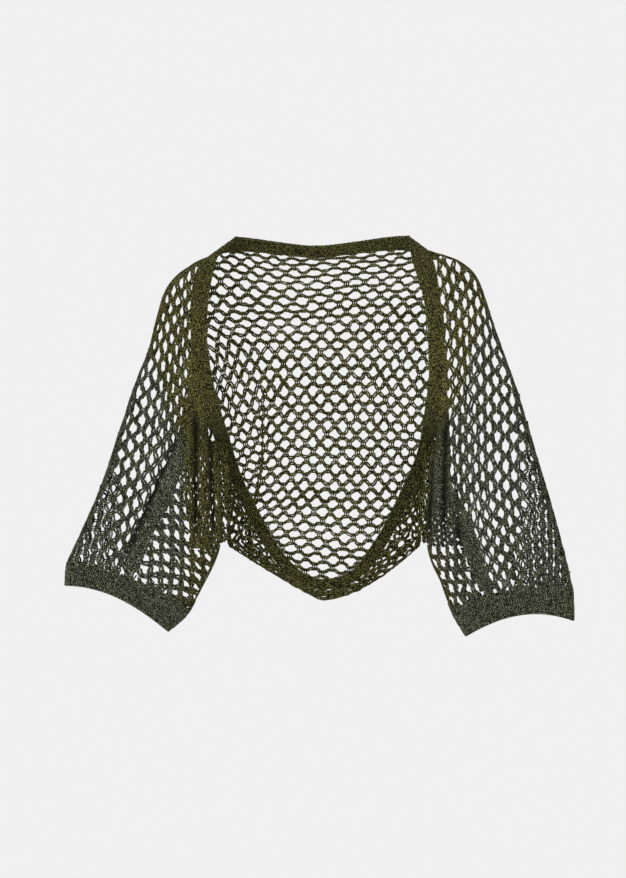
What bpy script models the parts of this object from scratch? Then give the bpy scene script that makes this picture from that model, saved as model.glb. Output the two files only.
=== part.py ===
# Open-mesh knitted shrug, filled out as if worn: one hollow garment of nine soft pieces.
# Metres, +Z up, front towards -Y, origin at the shoulder line midway between the shoulders.
import math

import bmesh
import bpy
from mathutils import Vector

OBJECT_NAME = "mesh_knit_shrug"
MM = 0.001

NET_THICKNESS = 1.6
BAND_THICKNESS = 2.4
CUFF_THICKNESS = 2.0
CUFF_RIB_HEIGHT = 0.9
CUFF_RIB_COUNT = 56
SEAM_GAP = 1.0
CUFF_GAP = 0.45
BAND_END_GAP = 1.0

ROW_UNDERARM = 10
ROW_CUFF_TOP = 16
ROW_CUFF_EDGE = 17
ROW_BODY_END = 16

BUNDLE_FOLD_DEPTH = 4.0
BUNDLE_FOLD_PITCH = 13.0
BUNDLE_WIDTH = 40.0
BUNDLE_TOP_Z = -245.0
BUNDLE_BOTTOM_Z = -430.0

NECK_SPAN = (0.68, 9.33)
UNDERARM_CORNER = Vector((1.2, 10.0, 0.0))
HEM_START = 0.02

PINCH_X = -84.0
PINCH_HEIGHT = 3.5
PINCH_TOP_Z = -180.0
PINCH_BOTTOM_Z = -350.0

# Sleeve rings from the shoulder to the cuff edge, millimetres and degrees.
# ox oz: outermost point; fx fz: front edge; bx bz: back edge
# af ab: sweep from the outermost point to each edge; df db: depth to front and back
# y0: ring centre; sag: rise of the ring's front and back middle
RIGHT_SLEEVE = (
    (-158, 7, -165, 1, -142, 15, 50, 50, 21, 21, 4, 0),
    (-173, 1, -171, -6, -152, 2, 70, 70, 25, 31, 2, 0),
    (-186, -7, -176, -16, -161, -20, 90, 90, 31, 40, 0, 0),
    (-206, -22, -181, -36, -165, -46, 90, 90, 48, 60, 0, 0),
    (-222, -45, -183, -62, -168, -77, 90, 90, 62, 71, 0, 0),
    (-233, -81, -183, -99, -170, -113, 90, 90, 73, 80, 0, 0),
    (-245, -128, -181, -136, -170, -151, 92, 92, 80, 84, 0, 0),
    (-260, -165, -175, -177, -167, -186, 98, 98, 82, 80, 0, 0),
    (-274, -205, -165, -212, -160, -216, 112, 115, 79, 77, 0, 0),
    (-281, -227, -157, -236, -155, -238, 138, 138, 76, 74, 2, 0),
    (-289, -249, -149, -260, -149, -260, 180, 180, 71, 69, 8, 0),
    (-303, -293, -145, -291, -145, -291, 180, 180, 66, 65, 6, 0),
    (-318, -335, -141, -338, -141, -338, 180, 180, 62, 62, 4, 0),
    (-335, -374, -140, -386, -140, -386, 180, 180, 59, 59, 2, 0),
    (-349, -405, -146, -425, -146, -425, 180, 180, 58, 58, 0, 2),
    (-359, -426, -165, -465, -165, -465, 180, 180, 56, 56, 0, 6),
    (-364, -441, -190, -510, -190, -510, 180, 180, 54, 54, 0, 13),
    (-366, -469, -218, -535, -218, -535, 180, 180, 54, 54, 0, 18),
)
LEFT_SLEEVE = (
    (161, 16, 163, 10, 142, 20, 50, 50, 21, 21, 4, 0),
    (172, 12, 166, 2, 150, 6, 70, 70, 25, 31, 2, 0),
    (183, 9, 169, -7, 158, -10, 90, 90, 31, 40, 0, 0),
    (207, -1, 173, -29, 160, -38, 90, 90, 48, 60, 0, 0),
    (228, -20, 176, -57, 162, -70, 90, 90, 63, 72, 0, 0),
    (241, -51, 179, -93, 165, -107, 90, 90, 74, 80, 0, 0),
    (254, -91, 181, -130, 168, -145, 92, 92, 80, 84, 0, 0),
    (270, -136, 183, -171, 171, -181, 98, 98, 82, 80, 0, 0),
    (288, -186, 178, -209, 168, -213, 112, 115, 79, 77, 0, 0),
    (297, -215, 173, -235, 167, -238, 138, 138, 76, 74, 2, 0),
    (306, -244, 168, -260, 168, -260, 180, 180, 71, 69, 8, 0),
    (320, -292, 165, -291, 165, -291, 180, 180, 66, 65, 6, 0),
    (334, -338, 161, -338, 161, -338, 180, 180, 62, 62, 4, 0),
    (346, -381, 158, -384, 158, -384, 180, 180, 59, 59, 2, 0),
    (355, -416, 162, -426, 162, -426, 180, 180, 58, 58, 0, 2),
    (363, -448, 178, -463, 178, -463, 180, 180, 56, 56, 0, 6),
    (369, -481, 196, -510, 196, -510, 180, 180, 54, 54, 0, 15),
    (370, -520, 215, -542, 215, -542, 180, 180, 54, 54, 0, 21),
)

# Inner edge of each front band from the shoulder: one point before the first sleeve ring,
# then one a ring down to the underarm: x y z.
RIGHT_BAND_INNER = (
    (-117, 10, 37),
    (-125, 1, 29),
    (-132, -6, 22),
    (-145, -20, 8),
    (-152, -37, -21),
    (-157, -51, -50),
    (-160, -65, -90),
    (-158, -74, -130),
    (-151, -78, -172),
    (-143, -69, -205),
    (-136, -42, -230),
    (-128, 12, -255),
)
LEFT_BAND_INNER = (
    (130, 10, 38),
    (132, 0, 26),
    (134, -8, 14),
    (137, -20, -2),
    (143, -37, -22),
    (151, -52, -50),
    (157, -66, -88),
    (160, -74, -128),
    (159, -78, -168),
    (155, -69, -204),
    (152, -42, -230),
    (149, 12, -255),
)

# Back neck band from right to left shoulder: inner edge x y z, outer edge x y z.
NECK_BAND = (
    (-117, 10, 37, -155, 8, 9),
    (-108, 20, 36, -136, 23, 17),
    (-95, 29, 34.5, -106, 40, 20),
    (-60, 44, 30, -65, 54, 17),
    (-22, 52, 25.5, -22, 62, 12),
    (0, 54, 25, 0, 64, 11),
    (20, 53, 26, 20, 63, 13),
    (60, 45, 31, 62, 55, 18),
    (97, 32, 36, 104, 42, 22),
    (116, 21, 37.5, 134, 25, 22),
    (130, 10, 38, 158, 8, 17),
)

# Hem band from right to left underarm: inner edge x y z, outer edge x y z.
HEM_BAND = (
    (-128, 12, -255, -149, 10, -260),
    (-121, 43, -281, -139, 43, -286),
    (-109, 67, -316, -125, 70, -325),
    (-90, 83, -355, -106, 85, -365),
    (-70, 92, -394, -85, 93, -405),
    (-47, 98, -428, -59, 98, -442),
    (-20, 101, -454, -28, 101, -469),
    (3, 102, -462, 5, 102, -478),
    (33, 101, -458, 39, 101, -473),
    (54, 99, -446, 64, 99, -459),
    (73, 95, -420, 89, 95, -431),
    (93, 87, -389, 109, 88, -398),
    (113, 74, -349, 130, 76, -357),
    (133, 46, -305, 150, 49, -310),
    (143, 28, -279, 160, 28, -284),
    (149, 12, -255, 168, 10, -260),
)

# Back panel rows: centre x y z, then below the underarm each side edge x y z.
BODY_CENTRE = (
    (0, 64, 11), (0, 68, 2), (0, 74, -9), (0, 84, -35), (0, 94, -67), (0, 103, -104),
    (0, 109, -144), (0, 113, -183), (0, 115, -213), (1, 117, -236), (2, 118, -262),
    (3, 119, -297), (4, 121, -348), (6, 123, -400), (6, 124, -454), (6, 121, -484),
    (6, 113, -494),
)
BODY_RIGHT_SIDE = (
    (-149, 12, -260), (-141, 54, -290), (-136, 82, -334), (-133, 96, -374),
    (-133, 102, -403), (-132, 103, -410), (-130, 104, -415),
)
BODY_LEFT_SIDE = (
    (168, 12, -260), (160, 54, -290), (154, 82, -334), (152, 96, -374),
    (151, 102, -403), (150, 103, -410), (148, 104, -415),
)


def smooth_row(table, t):
    """Values of a table at a fractional row, by a smooth curve through its rows."""
    last = len(table) - 1
    i = min(max(int(math.floor(t)), 0), last - 1)
    f = t - i
    p1 = table[i]
    p2 = table[i + 1]
    p0 = table[i - 1] if i > 0 else p1
    p3 = table[i + 2] if i + 2 <= last else p2
    out = []
    for a, b, c, d in zip(p0, p1, p2, p3):
        m1 = (c - a) / 2.0
        m2 = (d - b) / 2.0
        if (c - b) == 0.0:
            m1 = m2 = 0.0
        h = (2 * b - 2 * c + m1 + m2) * f ** 3
        h += (-3 * b + 3 * c - 2 * m1 - m2) * f ** 2
        out.append(h + m1 * f + b)
    return out


def clamp01(v):
    return min(max(v, 0.0), 1.0)


def ramp(v):
    v = clamp01(v)
    return v * v * (3.0 - 2.0 * v)


def sleeve_point(table, t, w):
    """Point on a sleeve ring: w runs from -1 at the front edge over 0 outside to 1 at the back."""
    ox, oz, fx, fz, bx, bz, af, ab, df, db, y0, sag = smooth_row(table, t)
    if t >= ROW_UNDERARM:
        af = ab = 180.0
    if w < 0:
        sweep, ex, ez, depth, sign = af, fx, fz, df, -1.0
    else:
        sweep, ex, ez, depth, sign = ab, bx, bz, db, 1.0
    angle = math.radians(min(sweep, 180.0)) * abs(w)
    full = 1.0 - math.cos(math.radians(min(sweep, 180.0)))
    part = (1.0 - math.cos(angle)) / full
    x = ox + (ex - ox) * part
    y = y0 + sign * depth * math.sin(angle)
    z = oz + (ez - oz) * part + sag * 4.0 * part * (1.0 - part)
    return Vector((x, y, z))


def bundle_offset(z, arc):
    """Gathered vertical folds beside the underarm seam, by height and distance from it."""
    high = ramp((BUNDLE_TOP_Z - z) / 30.0) * ramp((z - BUNDLE_BOTTOM_Z) / 60.0)
    across = ramp(arc / 5.0) * ramp((BUNDLE_WIDTH - arc) / 10.0)
    return BUNDLE_FOLD_DEPTH * high * across * math.sin(2 * math.pi * arc / BUNDLE_FOLD_PITCH)


def sleeve_grid(table, t0, t1, rows, ring):
    """Rows of ring points with the underarm folds raised on the front."""
    grid = []
    for j in range(rows + 1):
        t = t0 + (t1 - t0) * j / rows
        gathered = ramp((t - 4.0) / 7.0)
        line = []
        for i, w in enumerate(ring):
            even = -1.0 + 2.0 * i / (len(ring) - 1)
            line.append(sleeve_point(table, t, even + (w - even) * gathered))
        arc = 0.0
        folded = [line[0]]
        for i in range(1, len(line)):
            arc += (line[i] - line[i - 1]).length
            lift = bundle_offset(line[i].z, arc)
            if abs(lift) > 0.01 and i + 1 < len(line):
                along = line[i + 1] - line[i - 1]
                out = Vector((along.y, -along.x, 0.0)).normalized()
                if out.y > 0:
                    out = -out
                folded.append(line[i] + out * lift)
            else:
                folded.append(line[i])
        grid.append(folded)
    return grid


def body_edge(side, t):
    if t <= ROW_UNDERARM:
        return sleeve_point(RIGHT_SLEEVE if side < 0 else LEFT_SLEEVE, t, 1.0)
    table = BODY_RIGHT_SIDE if side < 0 else BODY_LEFT_SIDE
    return Vector(smooth_row(table, t - ROW_UNDERARM))


def body_formula(t, s):
    """Back panel point: t down its rows, s from -1 at the right edge to 1 at the left edge."""
    left = body_edge(-1, t)
    right = body_edge(1, t)
    centre = Vector(smooth_row(BODY_CENTRE, t))
    edge = left if s < 0 else right
    x = centre.x + (edge.x - centre.x) * abs(s)
    round_y = max(1.0 - s * s, 0.0) ** (1.0 - 0.55 * ramp((t - 7.0) / 3.0))
    y = edge.y + (centre.y - edge.y) * round_y
    lower = ramp((t - ROW_UNDERARM) / 4.0)
    power = 2.0 - lower * (0.9 if s < 0 else 0.3)
    z = edge.z + (centre.z - edge.z) * (1.0 - abs(s) ** power)
    return Vector((x, y, z))


def pinch_offset(x, z):
    high = ramp((PINCH_TOP_Z - z) / 40.0) * ramp((z - PINCH_BOTTOM_Z) / 40.0)
    return PINCH_HEIGHT * high * math.exp(-((x - PINCH_X) / 5.0) ** 2)


def body_point(t, s):
    p = body_formula(t, s)
    if t < 3.0:
        first, last = NECK_SPAN
        neck = smooth_row(NECK_BAND, first + (last - first) * (s + 1.0) / 2.0)
        top = body_formula(0.0, s)
        p = p + (Vector(neck[3:6]) - top) * (1.0 - ramp(t / 3.0))
    p.y -= pinch_offset(p.x, p.z)
    return p


def pulled(edge, inside, gap):
    """A seam point drawn back into its own piece by a gap."""
    step = inside - edge
    if step.length < 1e-6:
        return edge.copy()
    return edge + step.normalized() * gap


def back_gap(t):
    """Gap of the back armhole seam, wider where it turns under the arm."""
    return SEAM_GAP * (1.0 + ramp((t - 6.5) / 1.0) + 0.8 * ramp(3.0 - t))


def collection(name):
    c = bpy.data.collections.new(name)
    bpy.context.scene.collection.children.link(c)
    return c


def material(name, rgb, roughness):
    m = bpy.data.materials.new(name)
    m.use_nodes = True
    shader = m.node_tree.nodes["Principled BSDF"]
    shader.inputs["Base Color"].default_value = (rgb[0], rgb[1], rgb[2], 1.0)
    shader.inputs["Roughness"].default_value = roughness
    m.diffuse_color = (rgb[0], rgb[1], rgb[2], 1.0)
    return m


def mesh_object(name, verts, faces, mat, home):
    mesh = bpy.data.meshes.new(name)
    mesh.from_pydata([tuple(v * MM) for v in verts], [], faces)
    mesh.validate()
    bm = bmesh.new()
    bm.from_mesh(mesh)
    bmesh.ops.remove_doubles(bm, verts=bm.verts, dist=0.00002)
    bmesh.ops.recalc_face_normals(bm, faces=bm.faces)
    bm.to_mesh(mesh)
    bm.free()
    obj = bpy.data.objects.new(name, mesh)
    obj.data.materials.append(mat)
    home.objects.link(obj)
    return obj


def solidify(obj, thickness):
    mod = obj.modifiers.new("wall", "SOLIDIFY")
    mod.thickness = thickness * MM
    mod.offset = 0.0
    mod.use_even_offset = False
    mod.use_rim = True
    return obj


def grid_faces(rows, cols, start=0):
    faces = []
    for j in range(rows):
        for i in range(cols):
            a = start + j * (cols + 1) + i
            faces.append((a, a + 1, a + cols + 2, a + cols + 1))
    return faces


def ring_spacing():
    """Ring parameters, closer beside the underarm seam on the front."""
    near = [-1.0, -0.965, -0.94, -0.915, -0.89, -0.865, -0.84, -0.815, -0.79, -0.765, -0.735, -0.70]
    front = [-0.61, -0.52, -0.43, -0.34, -0.25, -0.16, -0.08, 0.0]
    back = [0.09, 0.18, 0.28, 0.38, 0.48, 0.58, 0.68, 0.78, 0.88, 0.95, 1.0]
    return near + front + back


def build_sleeve(name, table, mat, home):
    rows = 20
    ring = ring_spacing()
    grid = sleeve_grid(table, 0.0, ROW_CUFF_TOP, rows, ring)
    for j, line in enumerate(grid):
        t = ROW_CUFF_TOP * j / rows
        if t < ROW_UNDERARM - 1e-6:
            line[0] = pulled(line[0], line[1], SEAM_GAP)
            line[-1] = pulled(line[-1], line[-2], back_gap(t))
        elif t < ROW_UNDERARM + 0.5:
            inward = Vector((-1.0 if table is RIGHT_SLEEVE else 1.0, 0.0, -1.0)) * 2.0
            line[0] = line[0] + inward
            line[-1] = line[0].copy()
    grid[0] = [pulled(p, q, 2.0 * SEAM_GAP) for p, q in zip(grid[0], grid[1])]
    grid[0][0] = grid[0][1] = grid[0][2].copy()
    grid[0][-1] = grid[0][-2] = grid[0][-3].copy()
    grid[-1] = [pulled(p, q, CUFF_GAP) for p, q in zip(grid[-1], grid[-2])]
    verts = [p for line in grid for p in line]
    obj = mesh_object(name, verts, grid_faces(rows, len(ring) - 1), mat, home)
    return solidify(obj, NET_THICKNESS)


def build_cuff(name, table, mat, home):
    """Ribbed cuff: ribs raised on the outside of a plain tube."""
    rows = 3
    count = CUFF_RIB_COUNT * 2
    centre = Vector((0.0, 0.0, 0.0))
    levels = []
    for j in range(rows + 1):
        t = ROW_CUFF_TOP + (ROW_CUFF_EDGE - ROW_CUFF_TOP) * j / rows
        levels.append([sleeve_point(table, t, -1.0 + 2.0 * i / count) for i in range(count)])
    levels[0] = [pulled(p, q, CUFF_GAP) for p, q in zip(levels[0], levels[1])]
    verts = []
    for level in levels:
        centre = sum(level, Vector()) / count
        for k, p in enumerate(level):
            along = level[(k + 1) % count] - level[k - 1]
            out = along.cross(Vector((0.0, 0.0, 1.0))).normalized()
            if out.dot(p - centre) < 0:
                out = -out
            rib = CUFF_RIB_HEIGHT if k % 2 == 0 else 0.0
            verts.append(p + out * (CUFF_THICKNESS / 2.0 + rib - 0.45))
            verts.append(p - out * CUFF_THICKNESS / 2.0)
    faces = []
    for j in range(rows):
        for k in range(count):
            a = (j * count + k) * 2
            b = (j * count + (k + 1) % count) * 2
            c = b + count * 2
            d = a + count * 2
            faces.append((a, b, c, d))
            faces.append((a + 1, d + 1, c + 1, b + 1))
    for k in range(count):
        a = k * 2
        b = ((k + 1) % count) * 2
        faces.append((a, a + 1, b + 1, b))
        e = (rows * count + k) * 2
        f = (rows * count + (k + 1) % count) * 2
        faces.append((e, f, f + 1, e + 1))
    return mesh_object(name, verts, faces, mat, home)


def band_sections_front(table, inner):
    shoulder = Vector(NECK_BAND[0][3:6] if table is RIGHT_SLEEVE else NECK_BAND[-1][3:6])
    out = []
    for j in range(2 * (ROW_UNDERARM + 1) + 1):
        t = j / 2.0 - 1.0
        inside = Vector(smooth_row(inner, t + 1.0))
        outer = sleeve_point(table, max(t, 0.0), -1.0)
        if t == -1.0:
            outer = shoulder
        elif t <= 0.0:
            outer = pulled(sleeve_point(table, 0.0, -0.5 * (t + 2.0)), inside, 1.5)
        out.append((inside, outer))
    return out


def band_sections(table, steps):
    out = []
    for j in range(steps + 1):
        v = smooth_row(table, (len(table) - 1) * j / steps)
        out.append((Vector(v[0:3]), Vector(v[3:6])))
    return out


def build_band(name, sections, mat, home):
    """Flat knitted band: two face rows between its edges, drawn back from every seam."""
    lines = []
    for a, b in sections:
        lines.append([a, (a + b) / 2.0, pulled(b, a, SEAM_GAP)])
    for end, beside in ((0, 1), (-1, -2)):
        across = (lines[end][2] - lines[end][0]).normalized()
        along = lines[beside][1] - lines[end][1]
        along = (along - across * along.dot(across)).normalized()
        lines[end] = [p + along * BAND_END_GAP for p in lines[end]]
    verts = [p for line in lines for p in line]
    obj = mesh_object(name, verts, grid_faces(len(lines) - 1, 2), mat, home)
    return solidify(obj, BAND_THICKNESS)


def body_columns():
    cols = [-1.0, -0.975, -0.93, -0.87, -0.79, -0.70, -0.64, -0.60, -0.56, -0.52, -0.46]
    cols += [-0.36, -0.24, -0.12, 0.0, 0.12, 0.24, 0.36, 0.48, 0.60, 0.70, 0.79]
    cols += [0.87, 0.93, 0.975, 1.0]
    return cols


def body_rows():
    upper = [0.5 * k for k in range(2 * ROW_UNDERARM + 1)]
    lower = [10.5, 11.0, 11.5, 12.0, 12.5, 13.0, 13.5, 14.0, 14.5, 15.0, 15.5, 16.0]
    return [t for k, t in enumerate(upper) if k % 2 == 0 or k < 2] + lower


def build_body(name, mat, home):
    """Back panel, turned forward round its lower edge up to the hem band."""
    rows = body_rows()
    cols = body_columns()
    grid = [[body_point(t, s) for s in cols] for t in rows]
    for j, t in enumerate(rows):
        if t < ROW_UNDERARM:
            grid[j][0] = pulled(grid[j][0], grid[j][1], back_gap(t))
            grid[j][-1] = pulled(grid[j][-1], grid[j][-2], back_gap(t))
        elif t == ROW_UNDERARM:
            grid[j][0] = grid[j][0] + UNDERARM_CORNER
            grid[j][-1] = grid[j][-1] + Vector((-UNDERARM_CORNER.x, UNDERARM_CORNER.y, 0.0))
    grid[0] = [pulled(p, q, SEAM_GAP) for p, q in zip(grid[0], grid[1])]
    verts = [p for line in grid for p in line]
    width = len(cols)
    faces = grid_faces(len(rows) - 1, width - 1)
    first = rows.index(float(ROW_UNDERARM))
    border = [(j, 0) for j in range(first, len(rows))]
    border += [(len(rows) - 1, i) for i in range(1, width)]
    border += [(j, width - 1) for j in range(len(rows) - 2, first - 1, -1)]
    points = [grid[j][i] for j, i in border]
    lengths = [0.0]
    for p, q in zip(points, points[1:]):
        lengths.append(lengths[-1] + (q - p).length)
    total = lengths[-1]
    steps = 3
    previous = [j * width + i for j, i in border]
    for k in range(1, steps + 1):
        f = k / steps
        current = []
        for n, p in enumerate(points):
            u = lengths[n] / total
            inner, edge = hem_edge(HEM_START + (1.0 - 2.0 * HEM_START) * u)
            edge = edge + (edge - inner).normalized() * SEAM_GAP
            q = p.lerp(edge, f)
            swell = math.sin(math.pi * min(f, 0.999)) * min((edge - p).length * 0.14, 5.0)
            q.y -= swell
            current.append(len(verts))
            verts.append(q)
        for n in range(len(points) - 1):
            faces.append((previous[n], previous[n + 1], current[n + 1], current[n]))
        previous = current
    obj = mesh_object(name, verts, faces, mat, home)
    return solidify(obj, NET_THICKNESS)


def hem_edge(u):
    """Inner and outer point of the hem band at a share of its outer edge's length."""
    sections = band_sections(HEM_BAND, 150)
    reach = [0.0]
    for (a, b), (c, d) in zip(sections, sections[1:]):
        reach.append(reach[-1] + (d - b).length)
    goal = u * reach[-1]
    k = 0
    while k < len(reach) - 2 and reach[k + 1] < goal:
        k += 1
    f = (goal - reach[k]) / (reach[k + 1] - reach[k])
    inner = sections[k][0].lerp(sections[k + 1][0], f)
    outer = sections[k][1].lerp(sections[k + 1][1], f)
    return inner, outer


def main():
    for old in list(bpy.data.objects):
        bpy.data.objects.remove(old, do_unlink=True)
    home = collection(OBJECT_NAME)
    olive = material("olive_net_yarn", (0.045, 0.045, 0.008), 0.9)
    moss = material("moss_band_yarn", (0.05, 0.05, 0.012), 0.9)
    grey_green = material("grey_green_yarn", (0.045, 0.058, 0.038), 0.9)
    build_body("body", olive, home)
    build_sleeve("sleeve_right", RIGHT_SLEEVE, grey_green, home)
    build_sleeve("sleeve_left", LEFT_SLEEVE, grey_green, home)
    build_band("band_neck", band_sections(NECK_BAND, 22), moss, home)
    right = band_sections_front(RIGHT_SLEEVE, RIGHT_BAND_INNER)
    left = band_sections_front(LEFT_SLEEVE, LEFT_BAND_INNER)
    build_band("band_front_right", right, moss, home)
    build_band("band_front_left", left, moss, home)
    build_band("band_hem", band_sections(HEM_BAND, 36), moss, home)
    build_cuff("cuff_right", RIGHT_SLEEVE, grey_green, home)
    build_cuff("cuff_left", LEFT_SLEEVE, grey_green, home)


main()
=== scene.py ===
"""Looks of an open-mesh knitted shrug, filled out as if worn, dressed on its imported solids.

Lengths are millimetres in the part's own frame, unless a name says otherwise: X to the
wearer's left, Z up, front towards -Y, origin at the shoulder line. Meshes are made in metres.
"""
import math

import bmesh
import bpy
import numpy as np
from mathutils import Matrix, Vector


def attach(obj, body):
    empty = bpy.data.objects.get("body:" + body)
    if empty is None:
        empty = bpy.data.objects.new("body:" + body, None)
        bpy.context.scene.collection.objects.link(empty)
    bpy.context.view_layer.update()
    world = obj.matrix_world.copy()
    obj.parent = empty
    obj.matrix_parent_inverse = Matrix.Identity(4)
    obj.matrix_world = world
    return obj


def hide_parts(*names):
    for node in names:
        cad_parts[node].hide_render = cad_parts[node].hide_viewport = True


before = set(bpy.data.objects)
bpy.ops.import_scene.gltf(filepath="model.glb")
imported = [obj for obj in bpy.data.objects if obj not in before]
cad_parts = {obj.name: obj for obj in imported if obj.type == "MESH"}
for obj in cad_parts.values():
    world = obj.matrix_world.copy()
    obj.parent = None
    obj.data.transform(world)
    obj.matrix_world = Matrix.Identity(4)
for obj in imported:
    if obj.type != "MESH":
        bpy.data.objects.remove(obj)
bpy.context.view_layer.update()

MM = 0.001

# The camera stands straight in front, level, and its frame is this tall where the shrug hangs.
CAMERA_DISTANCE = 8000.0
CAMERA_AIM = (-7.25, 0.0, -256.7)
FRAME_HEIGHT = 1273.1
SENSOR = 36.0

# Studio: level of the surroundings as light and as seen, floor, soft lights
# (name, place and size in metres, power in watts).
WORLD_LIGHT = 0.6
WORLD_SEEN = 0.871
FLOOR_LEVEL_M = -1.7
LIGHTS = (
    ("key", (-1.2, -2.6, 1.3), 80.0, 1.6),
    ("fill", (1.8, -2.2, 0.2), 26.0, 2.0),
    ("back", (0.3, 2.4, 1.2), 22.0, 1.8),
)

# Yarn colours: dark fibres, middle tone, light flecks. The fleck size is in metres.
OLIVE = ((0.0020, 0.0019, 0.0005), (0.0165, 0.0155, 0.0031), (0.175, 0.166, 0.048))
GREY_GREEN = ((0.0023, 0.0026, 0.0016), (0.0175, 0.0195, 0.0110), (0.160, 0.170, 0.112))
FLECK_SIZE = 0.0013
FLECK_SHARE = 0.13
FLECK_LEVEL = 0.72
FLECK_EDGE = 0.07
CLOUDINESS = 0.12
# Painted shade: share of the dark fibre colour painted into the grooves of the sleeves' soft folds.
PAINTED_CREASE_SHADE = 0.9
TONE_SOFTNESS = 11.0
YARN_FINISH = {
    "Roughness": 0.92, "Specular IOR Level": 0.1, "Sheen Weight": 0.03,
    "Sheen Roughness": 0.6, "Sheen Tint": (0.75, 0.75, 0.55, 1.0),
}

# How each net is worked. radius: of one yarn; spread: from a strand's middle to its two yarns;
# gap: half a knot's height; flat_top: how square a mesh is; wobble and loose: unevenness of
# places and of knots; tight: most of a mesh that a knot may take; rungs: cross yarns at a
# knot; samples: points on each half mesh; full: pitch below which the yarns thin.
BACK_NET = dict(radius=1.66, spread=1.42, gap=3.8, flat_top=2.6, full=13.0, samples=6,
                wobble=0.75, loose=0.12, rung_radius=1.1)
LOWER_EDGE_NET = dict(radius=1.25, spread=0.95, gap=2.3, wobble=0.9, loose=0.35, tight=0.36,
                      samples=4, rungs=0, seen=False)
SLEEVE_FRONT_NET = dict(radius=1.6, spread=1.85, gap=3.7, flat_top=2.4, samples=6)
SLEEVE_BACK_NET = dict(radius=1.5, spread=1.8, gap=3.7, flat_top=2.4, rungs=2)
GUSSET_FRONT_NET = dict(radius=1.85, spread=2.0, gap=4.3, flat_top=2.2, wobble=1.2, loose=0.25)
GUSSET_BACK_NET = dict(radius=1.6, spread=1.8, gap=4.3, flat_top=2.6, rungs=2)
PACKED_NET = dict(radius=1.45, wobble=0.5, rungs=0, samples=4, tight=0.47)
BACK_SPANS = ((-28, 22), (-9, 48))
SLEEVE_SPANS = ((-26, 22), (-14, 14))
GUSSET_SPANS = ((-14, 16), (-16, 16))

# Strands and knots that all nets share.
TWIST = 0.62
TWIST_RISE = 0.45
THINNEST = 0.72
SMALLEST_KNOT = 0.05
RUNG_RADIUS = 0.95
RUNG_SPACING = 3.0
RUNG_SLANT = 0.35
RUNG_RISE = 0.5
SHORTEST_PITCH = 7.0

# Border yarns, bands and cuffs.
BORDER_RADIUS = 1.35
EDGE_RADIUS = 1.25
SHOULDER_RADIUS = 1.4
EDGE_MESH = 27.0
LOWER_EDGE_MESH = 9.0
LOWER_EDGE_COURSES = 5
LOWER_EDGE_DEPTH = 40.0
LOWER_EDGE_BULGE = 5.0
BAND_YARN_RADIUS = 1.2
BAND_WALL = 1.5
BAND_STEP = 1.7
BAND_STITCH = 4.6
COURSE_WIDTH = 2.9
CUFF_RIB_RADIUS = 1.15
CUFF_RIB_PITCH = 3.0
CUFF_WALL = 1.2

# Rows of the tables below, the heights where a sleeve meets the hem band, and laps.
ROW_UNDERARM = 10
ROW_BODY_END = 16
ROW_CUFF_TOP = 16
ROW_CUFF_EDGE = 17
CUFF_LAP = 0.12
UNDERARM_Z = -258.0
HEM_CORNER_Z = -409.0
NECK_SPAN = (0.68, 9.33)
HEM_START = 0.02
UNDERARM_LAP = 40.0
OUTER_LAP = -0.8
SEAM_LAP = 14.0

# Cloth surfaces: points a column and a level apart, and how much of a steep side's length
# counts when it is spread out flat.
LEVEL_STEP = 1.5
STEEP_SHARE = 0.55
SLEEVE_COLUMNS = 90
BACK_COLUMNS = 121
FOLD_FADE = 0.25

# Sleeve rings from the shoulder to the cuff edge, millimetres and degrees.
# ox oz: outermost point; fx fz: front edge; bx bz: back edge
# af ab: sweep from the outermost point to each edge; df db: depth to front and back
# y0: ring centre; sag: rise of the ring's front and back middle
RIGHT_SLEEVE = (
    (-158, 7, -165, 1, -142, 15, 50, 50, 21, 21, 4, 0),
    (-173, 1, -171, -6, -152, 2, 70, 70, 25, 31, 2, 0),
    (-186, -7, -176, -16, -161, -20, 90, 90, 31, 40, 0, 0),
    (-206, -22, -181, -36, -165, -46, 90, 90, 48, 60, 0, 0),
    (-222, -45, -183, -62, -168, -77, 90, 90, 62, 71, 0, 0),
    (-233, -81, -183, -99, -170, -113, 90, 90, 73, 80, 0, 0),
    (-245, -128, -181, -136, -170, -151, 92, 92, 80, 84, 0, 0),
    (-260, -165, -175, -177, -167, -186, 98, 98, 82, 80, 0, 0),
    (-274, -205, -165, -212, -160, -216, 112, 115, 79, 77, 0, 0),
    (-281, -227, -157, -236, -155, -238, 138, 138, 76, 74, 2, 0),
    (-289, -249, -149, -260, -149, -260, 180, 180, 71, 69, 8, 0),
    (-303, -293, -145, -291, -145, -291, 180, 180, 66, 65, 6, 0),
    (-318, -335, -141, -338, -141, -338, 180, 180, 62, 62, 4, 0),
    (-335, -374, -140, -386, -140, -386, 180, 180, 59, 59, 2, 0),
    (-349, -405, -146, -425, -146, -425, 180, 180, 58, 58, 0, 2),
    (-359, -426, -165, -465, -165, -465, 180, 180, 56, 56, 0, 6),
    (-364, -441, -190, -510, -190, -510, 180, 180, 54, 54, 0, 13),
    (-366, -469, -218, -535, -218, -535, 180, 180, 54, 54, 0, 18),
)
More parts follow.
